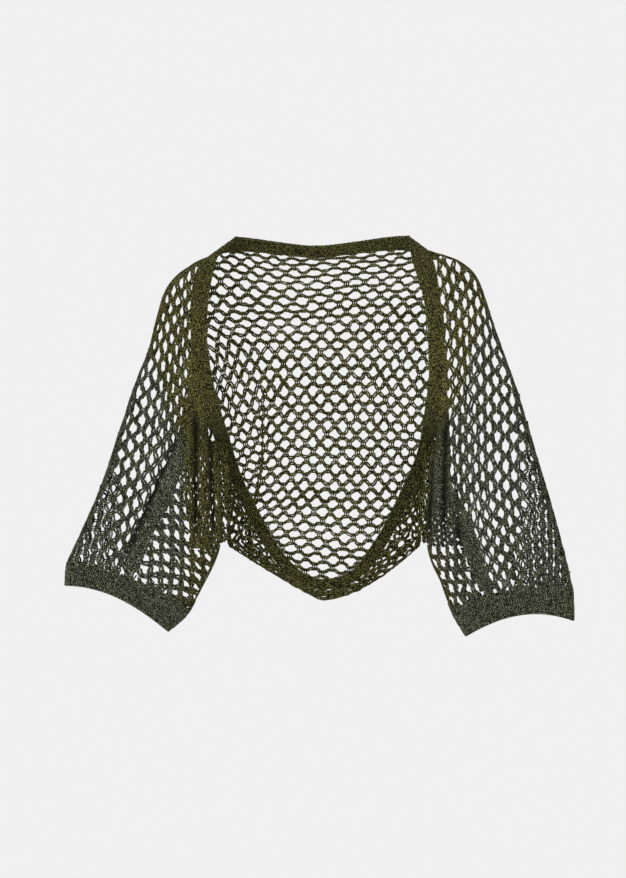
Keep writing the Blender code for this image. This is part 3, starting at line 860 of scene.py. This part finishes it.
def yarn_tree():
    """Turns yarn lines into closed round yarns, as thick as their girth attribute says."""
    tree = bpy.data.node_groups.new("yarns_along_lines", "GeometryNodeTree")
    add_sockets(tree, (("Lines", "Geometry"), ("Sides", "Int"), ("Thickness", "Float"),
                       ("Material", "Material")))
    add_sockets(tree, (("Yarns", "Geometry"),), "OUTPUT")
    given = add_node(tree, "NodeGroupInput").outputs
    curve = add_node(tree, "GeometryNodeMeshToCurve", {"Mesh": given["Lines"]})
    ring = add_node(tree, "GeometryNodeCurvePrimitiveCircle",
                    {"Resolution": given["Sides"], "Radius": given["Thickness"]})
    girth = add_node(tree, "GeometryNodeInputNamedAttribute", {"Name": "girth"})
    tube = add_node(tree, "GeometryNodeCurveToMesh", {
        "Curve": curve.outputs["Curve"], "Profile Curve": ring.outputs["Curve"],
        "Scale": girth.outputs["Attribute"], "Fill Caps": True})
    smooth = add_node(tree, "GeometryNodeSetShadeSmooth", {"Geometry": tube.outputs["Mesh"]})
    realize = add_node(tree, "GeometryNodeRealizeInstances",
                       {"Geometry": smooth.outputs["Geometry"]})
    paint = add_node(tree, "GeometryNodeSetMaterial",
                     {"Geometry": realize.outputs["Geometry"], "Material": given["Material"]})
    add_node(tree, "NodeGroupOutput", {"Yarns": paint.outputs["Geometry"]})
    return tree


def melange_group():
    """Speckled marled yarn colour: dark fibres, a middle tone and scattered light flecks."""
    tree = bpy.data.node_groups.new("melange", "ShaderNodeTree")
    add_sockets(tree, (("Dark", "Color"), ("Middle", "Color"), ("Light", "Color"),
                       ("Fleck Size", "Float"), ("Fleck Share", "Float")))
    add_sockets(tree, (("Color", "Color"), ("Height", "Float")), "OUTPUT")
    given = add_node(tree, "NodeGroupInput").outputs
    place = add_node(tree, "ShaderNodeTexCoord").outputs["Object"]
    density = math_node(tree, "DIVIDE", 1.0, given["Fleck Size"])

    def noise(scale, detail):
        scaled = math_node(tree, "MULTIPLY", density, scale)
        inputs = {"Vector": place, "Scale": scaled, "Detail": detail}
        return add_node(tree, "ShaderNodeTexNoise", inputs).outputs["Fac"]

    fine = noise(1.0, 1.0)
    shade = add_node(tree, "ShaderNodeMapRange",
                     {"Value": fine, "From Min": 0.40, "From Max": 0.60},
                     interpolation_type="SMOOTHSTEP")
    fibres = mix_colours(tree, shade.outputs["Result"], given["Dark"], given["Middle"])
    cloud = math_node(tree, "MULTIPLY_ADD", noise(0.11, 2.0), CLOUDINESS, noise(0.8, 0.0))
    limit = math_node(tree, "SUBTRACT", FLECK_LEVEL, given["Fleck Share"])
    flecks = add_node(tree, "ShaderNodeMapRange", {
        "Value": cloud, "From Min": limit,
        "From Max": math_node(tree, "ADD", limit, FLECK_EDGE)})
    colour = mix_colours(tree, flecks.outputs["Result"], fibres, given["Light"])
    add_node(tree, "NodeGroupOutput", {"Color": colour, "Height": fine})
    return tree


def yarn_material(name, group, colours, dim=1.0, toned_with=None, share=FLECK_SHARE):
    """Marled yarn; a second set of colours takes over where the tone attribute says so, and painted
    shade darkens the fold grooves.
    """
    mat = bpy.data.materials.new(name)
    mat.use_nodes = True
    tree = mat.node_tree

    def melange(values):
        inputs = {"Fleck Size": FLECK_SIZE, "Fleck Share": share}
        for kind, rgb in zip(("Dark", "Middle", "Light"), values):
            inputs[kind] = tuple(c * dim for c in rgb) + (1.0,)
        return add_node(tree, "ShaderNodeGroup", inputs, node_tree=group)

    def marked(attribute):
        return add_node(tree, "ShaderNodeAttribute", attribute_name=attribute).outputs["Fac"]

    base = melange(colours)
    colour = base.outputs["Color"]
    if toned_with:
        other = melange(toned_with)
        colour = mix_colours(tree, marked("tone"), colour, other.outputs["Color"])
        # Painted shade: the dark fibre colour is mixed in along the fold grooves, standing in for
        # the shade that falls in them.
        depth = math_node(tree, "MULTIPLY", marked("painted_crease_shade"), PAINTED_CREASE_SHADE)
        colour = mix_colours(tree, depth, colour, (*colours[0], 1.0))
    bump = add_node(tree, "ShaderNodeBump", {
        "Height": base.outputs["Height"], "Strength": 0.5, "Distance": 0.0005})
    looks = {"Base Color": colour, "Normal": bump.outputs["Normal"], **YARN_FINISH}
    fill(tree, tree.nodes["Principled BSDF"], looks)
    return mat


# Meshes

def socket(tree, name):
    return next(s.identifier for s in tree.interface.items_tree
                if s.name == name and s.in_out == "INPUT")


def mark(mesh, name, values):
    mesh.attributes.new(name, "FLOAT", "POINT").data.foreach_set("value", values)


def plain_mesh(obj):
    """The evaluated mesh of an object, with its modifiers gone."""
    graph = bpy.context.evaluated_depsgraph_get()
    mesh = bpy.data.meshes.new_from_object(obj.evaluated_get(graph))
    obj.modifiers.clear()
    old = obj.data
    obj.data = mesh
    bpy.data.meshes.remove(old)
    return obj


def yarn_piece(name, yarns, tree, mat):
    """All the yarns as one plain mesh of four-sided tubes."""
    points = np.concatenate(yarns.points) * MM
    edges = np.concatenate(yarns.edges)
    mesh = bpy.data.meshes.new(name)
    mesh.vertices.add(len(points))
    mesh.vertices.foreach_set("co", points.ravel())
    mesh.edges.add(len(edges))
    mesh.edges.foreach_set("vertices", edges.ravel())
    mesh.update()
    mark(mesh, "girth", np.concatenate(yarns.girth))
    obj = bpy.data.objects.new(name, mesh)
    bpy.context.scene.collection.objects.link(obj)
    mod = obj.modifiers.new("yarns", "NODES")
    mod.node_group = tree
    for setting, value in (("Sides", 4), ("Thickness", MM), ("Material", mat)):
        mod[socket(tree, setting)] = value
    plain_mesh(obj)
    spare = obj.data.attributes.get("girth")
    if spare:
        obj.data.attributes.remove(spare)
    return obj


def shell(name, grid, mat, thickness, closed=False):
    """A thin wall on rows of points; a closed one joins each row's ends."""
    rows, cols = grid.shape[:2]
    faces = []
    for j in range(rows - 1):
        for i in range(cols if closed else cols - 1):
            n = (i + 1) % cols
            faces.append((j * cols + i, j * cols + n, (j + 1) * cols + n, (j + 1) * cols + i))
    mesh = bpy.data.meshes.new(name)
    mesh.from_pydata((grid.reshape(-1, 3) * MM).tolist(), [], faces)
    bm = bmesh.new()
    bm.from_mesh(mesh)
    bmesh.ops.remove_doubles(bm, verts=bm.verts, dist=0.00002)
    bmesh.ops.recalc_face_normals(bm, faces=bm.faces)
    bm.to_mesh(mesh)
    bm.free()
    mesh.shade_smooth()
    obj = bpy.data.objects.new(name, mesh)
    obj.data.materials.append(mat)
    bpy.context.scene.collection.objects.link(obj)
    wall = obj.modifiers.new("wall", "SOLIDIFY")
    wall.thickness = thickness * MM
    wall.offset = 0.0
    return plain_mesh(obj)


def tone(obj, line, folds):
    """Marks how grey-green each point of a sleeve is, and how much painted shade it gets in the
    grooves of the front's soft folds.
    """
    line = np.array(line, float)
    places = np.empty(len(obj.data.vertices) * 3)
    obj.data.vertices.foreach_get("co", places)
    x, y, z = places.reshape(-1, 3).T / MM
    outwards = (x - np.interp(z, line[:, 0], line[:, 1])) * np.sign(line[0, 1])
    mark(obj.data, "tone", ramp(0.5 + outwards / (2 * TONE_SOFTNESS)))
    # Painted shade: grooves of the soft folds on the sleeve's front are marked to be painted
    # darker.
    groove_shade = -sum(np.sign(fold[4]) * fold_strength(fold, x, z) for fold in folds)
    mark(obj.data, "painted_crease_shade", np.where(y < 0, np.clip(groove_shade, 0.0, 1.0), 0.0))


# Pieces

def build_body(tree, mat):
    yarns = Yarns()
    guide = PinchedGuide(Guide(BODY_ALONG, BODY_GUIDE), Guide(BODY_SIDE_ALONG, BODY_SIDE_GUIDE))
    knit(yarns, back_cloth(), guide, BACK_SPANS, everywhere, 11, **BACK_NET)
    for row in (0.05, 0.3):
        yarns.run(body_points(row, np.linspace(-0.99, 0.99, 200)), BORDER_RADIUS)
    rows = np.linspace(0.05, ROW_BODY_END - 0.1, 220)
    for edge in (-0.995, -0.975, 0.975, 0.995):
        yarns.run(body_points(rows, edge + 0.004 * np.sin(rows * 5.0)), BORDER_RADIUS)
    return yarn_piece("body_net", yarns, tree, mat)


def build_lower_edge(tree, mat):
    cloth, length = lower_edge_cloth()
    yarns = Yarns()
    steps = int(length / LOWER_EDGE_MESH)
    guide = Guide((0, steps), (
        (0, 0.0, 0.4, length, 0.4),
        (LOWER_EDGE_COURSES, 0.0, LOWER_EDGE_DEPTH, length, LOWER_EDGE_DEPTH),
    ))

    def allowed(places):
        return (places[:, 0] > 1.0) & (places[:, 0] < length - 1.0) & (places[:, 1] > 0.0)

    spans = ((0, steps), (0, LOWER_EDGE_COURSES))
    knit(yarns, cloth, guide, spans, allowed, 21, **LOWER_EDGE_NET)
    s = np.arange(0.0, length - 2.0, 2.0)
    spots, side = cloth.at(np.stack([1.0 + s, 0.6 - 0.4 * np.sin(s * 0.9)], -1))
    yarns.run(spots - side * 0.6, EDGE_RADIUS)
    return yarn_piece("body_lower_edge", yarns, tree, mat)


def back_shift(centre, width=45.0, clear=35.0, drift=9.8):
    """Slides the back half's meshes sideways past a clear middle, so the two layers cross."""

    def shift(places):
        away = (places[:, 0] - centre) * np.sign(centre)
        moved = places.copy()
        moved[:, 0] += np.sign(centre) * drift * ramp((away - clear) / width)
        return moved

    return shift


def build_sleeve(name, tree, mat, table, main, gusset, bundle, gather, folds, tone_line,
                 centre, seed):
    """Nets of a sleeve: main net, gathered folds and, below them, the gusset with wider meshes."""
    front = sleeve_cloth(table, -1.0, folds)
    back = sleeve_cloth(table, 1.0, ())
    main, gusset = Guide(*main), Guide(*gusset)
    yarns = Yarns()
    side = np.sign(centre)
    rings = np.array(table, float)[:ROW_CUFF_TOP + 1]
    inner_z, inner_x = zip(*sorted([(s[3], s[2]) for s in gather] + [(-700.0, gather[-1][2])]))

    def gathered(places):
        return inside(places, bundle) | inside(places, gather)

    def short_of(edge_x, edge_z, places):
        """Keeps a net from lapping over its edge, except behind the hem band's end."""
        x, z = places.T
        edge = np.interp(-z, -rings[:, edge_z], rings[:, edge_x])
        corner = np.clip((z - HEM_CORNER_Z) / 8.0, 0.0, 1.0)
        lap = np.where(z < UNDERARM_Z, 0.5 + UNDERARM_LAP * corner, 0.5)
        return (x - edge) * side > -lap

    def stitched(places):
        return short_of(2, 3, places)

    def below(places):
        x, z = places.T
        under = (z < gather[0][3]) & ((x - np.interp(z, inner_z, inner_x)) * side < 0)
        return under & ~gathered(places) & stitched(places)

    def plain(places):
        return ~gathered(places) & ~below(places) & stitched(places)

    def behind(places):
        return short_of(4, 5, places) & ~below(places)

    knit(yarns, front, main, SLEEVE_SPANS, plain, seed, **SLEEVE_FRONT_NET)
    knit(yarns, front, gusset, GUSSET_SPANS, below, seed + 1, **GUSSET_FRONT_NET)
    packed = ((bundle, 5, 13, 1.2, 1.8), (gather, 4, 8, 1.3, 1.7))
    for n, (rails, steps, courses, spread, gap) in enumerate(packed, 2):
        spans = ((0, steps * (len(rails) - 1)), (0, courses))
        knit(yarns, front, rail_guide(rails, steps, courses), spans, stitched, seed + n,
             spread=spread, gap=gap, **PACKED_NET)
    knit(yarns, back, main, SLEEVE_SPANS, behind, seed + 4, shift=back_shift(centre),
         **SLEEVE_BACK_NET)
    knit(yarns, back, gusset, GUSSET_SPANS, below, seed + 5, **GUSSET_BACK_NET)
    sleeve_borders(yarns, table)
    obj = yarn_piece(name, yarns, tree, mat)
    tone(obj, tone_line, folds)
    return obj


def sleeve_borders(yarns, table):
    """Yarns down a sleeve's outside and inner edges, along its top and over the shoulder."""
    rows = np.linspace(0.1, ROW_CUFF_TOP, 260)
    along = lengths(sleeve_points(table, rows, 0.0))

    def wave(n):
        return np.cos(2 * math.pi * along / EDGE_MESH + n * math.pi)

    for n in range(5):
        line = sleeve_points(table, rows, 0.052 * (n - 2) + 0.025 * wave(n))
        yarns.run(line, BORDER_RADIUS)
    for n, place in enumerate((-0.94, -0.98, 0.98, 0.94)):
        line = sleeve_points(table, rows, place + 0.012 * wave(n))
        yarns.run(line, EDGE_RADIUS, line[:, 2] < HEM_CORNER_Z)
    top = sleeve_points(table, 0.12, np.linspace(-0.97, 0.97, 60))
    for drop in (0.0, 2.2):
        yarns.run(top - np.array((0.0, 0.0, drop)), SHOULDER_RADIUS)
    over = np.linspace(0.03, 0.97, 90)
    for n in range(6):
        swing = 0.12 * np.cos(2 * math.pi * np.arange(len(over)) / 12.0 + n * math.pi)
        yarns.run(sleeve_points(table, 0.3 + 0.25 * n + swing, over), BORDER_RADIUS)


def band_sections_front(table, inner):
    shoulder = np.array((NECK_BAND[0] if table is RIGHT_SLEEVE else NECK_BAND[-1])[3:6], float)
    rows = np.linspace(-1.0, ROW_UNDERARM, 150)
    inside_line = smooth_rows(inner, rows + 1.0)
    outside_line = sleeve_points(table, np.maximum(rows, 0.0), -1.0)
    early = ramp(rows + 1.0)[:, None]
    top = shoulder + (sleeve_points(table, 0.0, -1.0) - shoulder) * early
    outside_line = np.where((rows < 0.0)[:, None], top, outside_line)
    return inside_line, outside_line


def band_sections(table):
    sections = smooth_rows(table, np.linspace(0.0, len(table) - 1, 240))
    return sections[:, :3], sections[:, 3:6]


def build_band(name, tree, mat, wall_mat, sections, outward, width, seed):
    """A dense flat band: a backing wall with knitted courses lying along it."""
    inner, outer = sections
    length = lengths((inner + outer) / 2.0)
    s = np.linspace(0.0, length[-1], int(length[-1] / BAND_STEP))
    inner = spaced(s, length, inner)
    outer = spaced(s, length, outer)
    across = outer - inner
    share = np.linspace(0.03, 0.97, 9)
    grid = inner[:, None] + across[:, None] * share[None, :, None]
    wall = shell(name, grid, wall_mat, BAND_WALL)
    side = unit(np.cross(np.gradient((inner + outer) / 2.0, axis=0), across))
    if np.mean(side @ np.array(outward)) < 0:
        side = -side
    random = np.random.default_rng(seed)
    courses = int(round(width / COURSE_WIDTH))
    yarns = Yarns()
    for face, radius in ((1.0, BAND_YARN_RADIUS), (-1.0, 1.05 * BAND_YARN_RADIUS)):
        for k in range(courses):
            wave = 0.42 * np.sin(s * 2 * math.pi / BAND_STITCH + (k % 2) * math.pi)
            wave += random.normal(0.0, 0.16, len(s))
            offset = (k + 0.5) / courses + wave / width
            rise = 0.9 + 0.35 * np.cos(s * 4 * math.pi / BAND_STITCH + k * 1.1)
            rise += 0.3 * (k % 3 == 0)
            line = inner + across * offset[:, None] + side * (face * rise)[:, None]
            yarns.run(line, radius)
    return wall, yarn_piece(name + "_courses", yarns, tree, mat)


def build_cuff(name, tree, mat, wall_mat, table):
    """A ribbed cuff: a thin tube with close upright ribs on both faces."""
    rows = np.linspace(ROW_CUFF_TOP - CUFF_LAP, ROW_CUFF_EDGE, 15)
    ring = np.linspace(-1.0, 1.0, 1201)[:-1]
    perimeter = lengths(sleeve_points(table, ROW_CUFF_EDGE, ring))
    ribs = int(perimeter[-1] / CUFF_RIB_PITCH) // 2 * 2
    around = np.interp(np.arange(ribs) * perimeter[-1] / ribs, perimeter, ring)
    grid = sleeve_points(table, rows[:, None], around[None, ::2])
    wall = shell(name, grid, wall_mat, CUFF_WALL, closed=True)
    random = np.random.default_rng(5)
    starts = ROW_CUFF_TOP - 0.1 - 0.4 * random.random(ribs) ** 2
    rib_rows = starts[:, None] + (ROW_CUFF_EDGE - starts)[:, None] * np.linspace(0.0, 1.0, 15)
    lines = sleeve_points(table, rib_rows, around[:, None])
    along = np.roll(lines, -1, axis=0) - np.roll(lines, 1, axis=0)
    side = unit(np.cross(along, np.gradient(lines, axis=1)))
    if np.mean(np.sum(side * (lines - lines.mean(axis=(0, 1))), axis=-1)) < 0:
        side = -side
    yarns = Yarns()
    for face in (0.75, -0.7):
        rise = face + 0.16 * random.normal(0.0, 1.0, lines.shape[:2])
        keep = np.ones(lines.shape[:2], bool)
        yarns.add(lines + side * rise[..., None], keep, CUFF_RIB_RADIUS)
    edge = sleeve_points(table, ROW_CUFF_EDGE - 0.02, np.linspace(-1.0, 1.0, 180))
    yarns.run(edge + np.array((0.0, 0.0, 0.2)), EDGE_RADIUS)
    return wall, yarn_piece(name + "_ribs", yarns, tree, mat)


# Stage

def aim(obj, target):
    obj.rotation_euler = (Vector(target) - obj.location).to_track_quat("-Z", "Y").to_euler()


def camera():
    data = bpy.data.cameras.new("camera")
    data.sensor_width = SENSOR
    data.lens = SENSOR * CAMERA_DISTANCE / FRAME_HEIGHT
    data.clip_end = 100.0
    cam = bpy.data.objects.new("camera", data)
    bpy.context.scene.collection.objects.link(cam)
    cam.location = Vector((CAMERA_AIM[0], -CAMERA_DISTANCE, CAMERA_AIM[2])) * MM
    aim(cam, Vector(CAMERA_AIM) * MM)
    bpy.context.scene.camera = cam


def soft_light(name, place, power, size):
    data = bpy.data.lights.new(name, "AREA")
    data.energy = power
    data.size = size
    light = bpy.data.objects.new(name, data)
    light.location = place
    aim(light, (0.0, 0.0, -0.25))
    bpy.context.scene.collection.objects.link(light)


def stage():
    world = bpy.data.worlds.new("studio")
    world.use_nodes = True
    tree = world.node_tree
    seen = add_node(tree, "ShaderNodeLightPath").outputs["Is Camera Ray"]
    level = add_node(tree, "ShaderNodeMapRange",
                     {"Value": seen, "To Min": WORLD_LIGHT, "To Max": WORLD_SEEN})
    sky = tree.nodes["Background"]
    sky.inputs["Strength"].default_value = WORLD_LIGHT
    fill(tree, sky, {"Color": (1.0, 1.0, 1.0, 1.0), "Strength": level.outputs["Result"]})
    bpy.context.scene.world = world
    bpy.context.scene.view_settings.view_transform = "Standard"
    bpy.ops.mesh.primitive_plane_add(size=10.0, location=(0.0, 0.0, FLOOR_LEVEL_M))
    floor = bpy.context.object
    floor.name = "floor"
    pale = bpy.data.materials.new("pale_floor")
    pale.use_nodes = True
    fill(pale.node_tree, pale.node_tree.nodes["Principled BSDF"],
         {"Base Color": (0.85, 0.85, 0.85, 1.0), "Roughness": 0.9})
    floor.data.materials.append(pale)
    for light in LIGHTS:
        soft_light(*light)


def main():
    camera()
    stage()
    tree = yarn_tree()
    group = melange_group()
    olive = yarn_material("olive_net_yarn", group, OLIVE, dim=0.78)
    sleeve_yarn = yarn_material("sleeve_net_yarn", group, OLIVE, dim=0.8, toned_with=GREY_GREEN)
    band_yarn = yarn_material("olive_band_yarn", group, OLIVE, dim=0.68, share=0.14)
    band_back = yarn_material("olive_band_wall", group, OLIVE, dim=0.5, share=0.04)
    cuff_yarn = yarn_material("grey_green_cuff_yarn", group, GREY_GREEN)
    cuff_back = yarn_material("grey_green_cuff_wall", group, GREY_GREEN, dim=0.5, share=0.05)

    # piece, solid that it dresses, slot, flat size in metres, how it is held, area of its yarn
    sheets = [
        (build_body(tree, olive), "body", "net_olive", (0.50, 0.55), "stretched", 0.20),
        (build_lower_edge(tree, olive), None, "net_olive", (0.72, 0.05), "gathered", None),
    ]
    for side, sleeve in SLEEVES.items():
        net = build_sleeve("sleeve_net_" + side, tree, sleeve_yarn, *sleeve)
        sheets.append((net, "sleeve_" + side, "net_grey_green", (0.42, 0.52), "hung", 0.165))
    front_right = band_sections_front(RIGHT_SLEEVE, RIGHT_BAND_INNER)
    front_left = band_sections_front(LEFT_SLEEVE, LEFT_BAND_INNER)
    # name, solid, sections, outward side, width in millimetres, seed, flat size in metres
    bands = (
        ("front_band_right", "band_front_right", front_right, (0, -1, 0), 34.0, 51, (0.034, 0.36)),
        ("front_band_left", "band_front_left", front_left, (0, -1, 0), 34.0, 52, (0.034, 0.36)),
        ("neck_band", "band_neck", band_sections(NECK_BAND), (0, 1, 0.3), 22.0, 53, (0.25, 0.022)),
        ("hem_band", "band_hem", band_sections(HEM_BAND), (0, -1, 0), 17.0, 54, (0.60, 0.017)),
    )
    for name, node, sections, outward, width, seed, flat in bands:
        band = build_band(name, tree, band_yarn, band_back, sections, outward, width, seed)
        sheets.append((band, node, "band_olive", flat, "stretched", None))
    for side, sleeve in SLEEVES.items():
        cuff = build_cuff("cuff_rib_" + side, tree, cuff_yarn, cuff_back, sleeve[0])
        sheets.append((cuff, "cuff_" + side, "cuff_grey_green", (0.36, 0.045), "hung", None))
    for sheet in sheets:
        finish_piece(*sheet)

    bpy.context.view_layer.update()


def finish_piece(pieces, node, slot, flat, held, area):
    """Attaches a piece, with any separate courses that lie on it, to the root, and hides the solid
    that it dresses.
    """
    pieces = pieces if isinstance(pieces, tuple) else (pieces,)
    for obj in pieces:
        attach(obj, "root")
    if node:
        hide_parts(node)


main()
